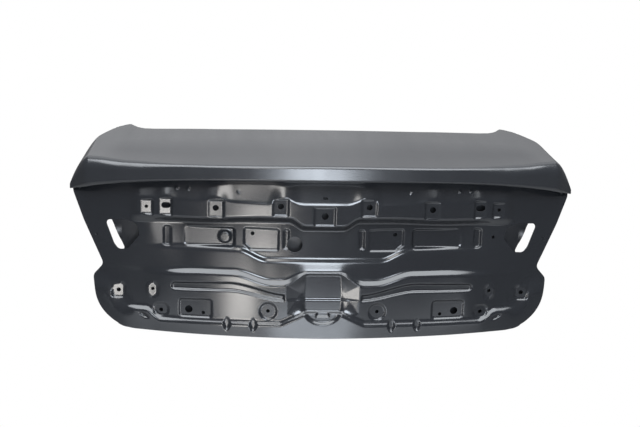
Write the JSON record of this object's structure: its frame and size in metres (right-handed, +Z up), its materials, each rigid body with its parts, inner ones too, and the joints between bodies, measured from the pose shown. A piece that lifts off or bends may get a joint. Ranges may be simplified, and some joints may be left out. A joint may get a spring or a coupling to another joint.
{
  "type": "car trunk lid",
  "caption": "Bare pressed-steel trunk lid for a sedan, with a turned-down rear lip, lamp pads, a latch bay and a double-skinned body that bolts to two hinge arms.",
  "frame": {"origin": "centre of the four hinge bolt holes, on the flat underside of the inner panel's hinge pads", "axes": "X to the right seen from behind the car, Y forward into the car, Z up, with the lid closed"},
  "size_m": [1.272, 0.4926, 0.4535],
  "materials": {
    "panel": "black electrocoat primer, semi-gloss",
    "inner": "black electrocoat primer, satin",
    "nut": "coated over with the panel",
    "mastic": "dull, baked anti-flutter mastic"
  },
  "bodies": {
    "root": {"upper_outer_panel": "panel", "lower_outer_panel": "panel", "inner_panel": "inner", "hinge_reinforcement_left": "inner", "hinge_reinforcement_right": "inner", "hinge_weld_nuts": "nut", "latch_reinforcement": "inner", "latch_weld_nuts": "nut", "lip_reinforcement": "inner", "mastic_pads": "mastic"}
  },
  "joints": []
}
